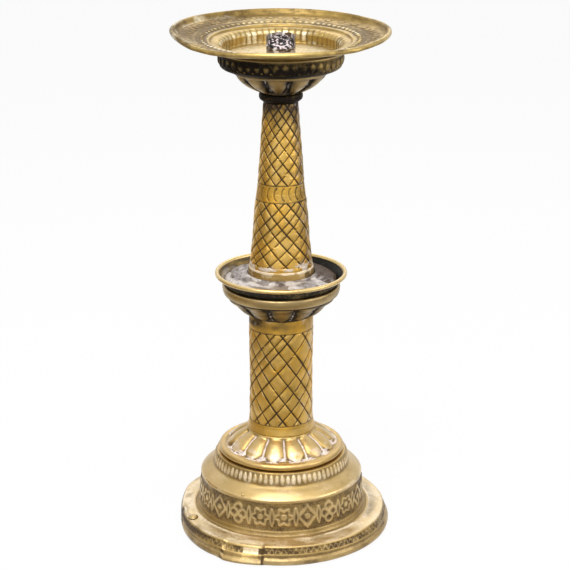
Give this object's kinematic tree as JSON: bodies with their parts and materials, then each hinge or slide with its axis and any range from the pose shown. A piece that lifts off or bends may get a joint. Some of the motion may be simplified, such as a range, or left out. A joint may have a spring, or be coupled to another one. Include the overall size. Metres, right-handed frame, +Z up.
{
  "type": "candlestick",
  "caption": "Tall old brass candlestick: stepped round foot, lobed dome, two latticed shafts with a small drip pan between them, and a wide leaning top pan with a stub of candle tube.",
  "frame": {"origin": "on the axis, in the plane that the foot stands on", "axes": "+Z up along the shafts, -Y the pictured front, towards which the top pan leans, +X the viewer's right"},
  "size_m": [0.1986, 0.1986, 0.4573],
  "materials": {
    "brass": "old, rubbed bright on the high places, brown in the grooves",
    "dull_brass": "dull, with brown patina",
    "dark_brass": "brown-black patina, rubbed on the edges",
    "iron": "rusted dark",
    "lead": "rough grey lead solder",
    "wax": "burnt, crusted"
  },
  "bodies": {
    "root": {"foot_shell": "brass", "foot_rim_wire": "iron", "foot_bar": "iron", "foot_nut": "iron", "flange_rivet": "brass", "shoulder_rivet": "brass", "foot_dome": "brass", "dome_rim_wire": "iron", "lower_shaft": "brass", "mid_bowl": "dull_brass", "mid_disc": "iron", "mid_pan": "dull_brass", "mid_pan_rim_wire": "iron", "pan_solder": "lead", "shaft_collar": "brass", "upper_shaft": "brass", "neck_ring": "dark_brass", "upper_bowl": "dull_brass", "egg_ring": "dark_brass", "tie_rod": "iron", "top_disc": "iron", "top_nut": "iron", "pan_bed": "lead", "top_pan": "brass", "top_pan_rim_wire": "iron", "candle_tube": "lead", "tube_fill": "wax"}
  },
  "joints": []
}
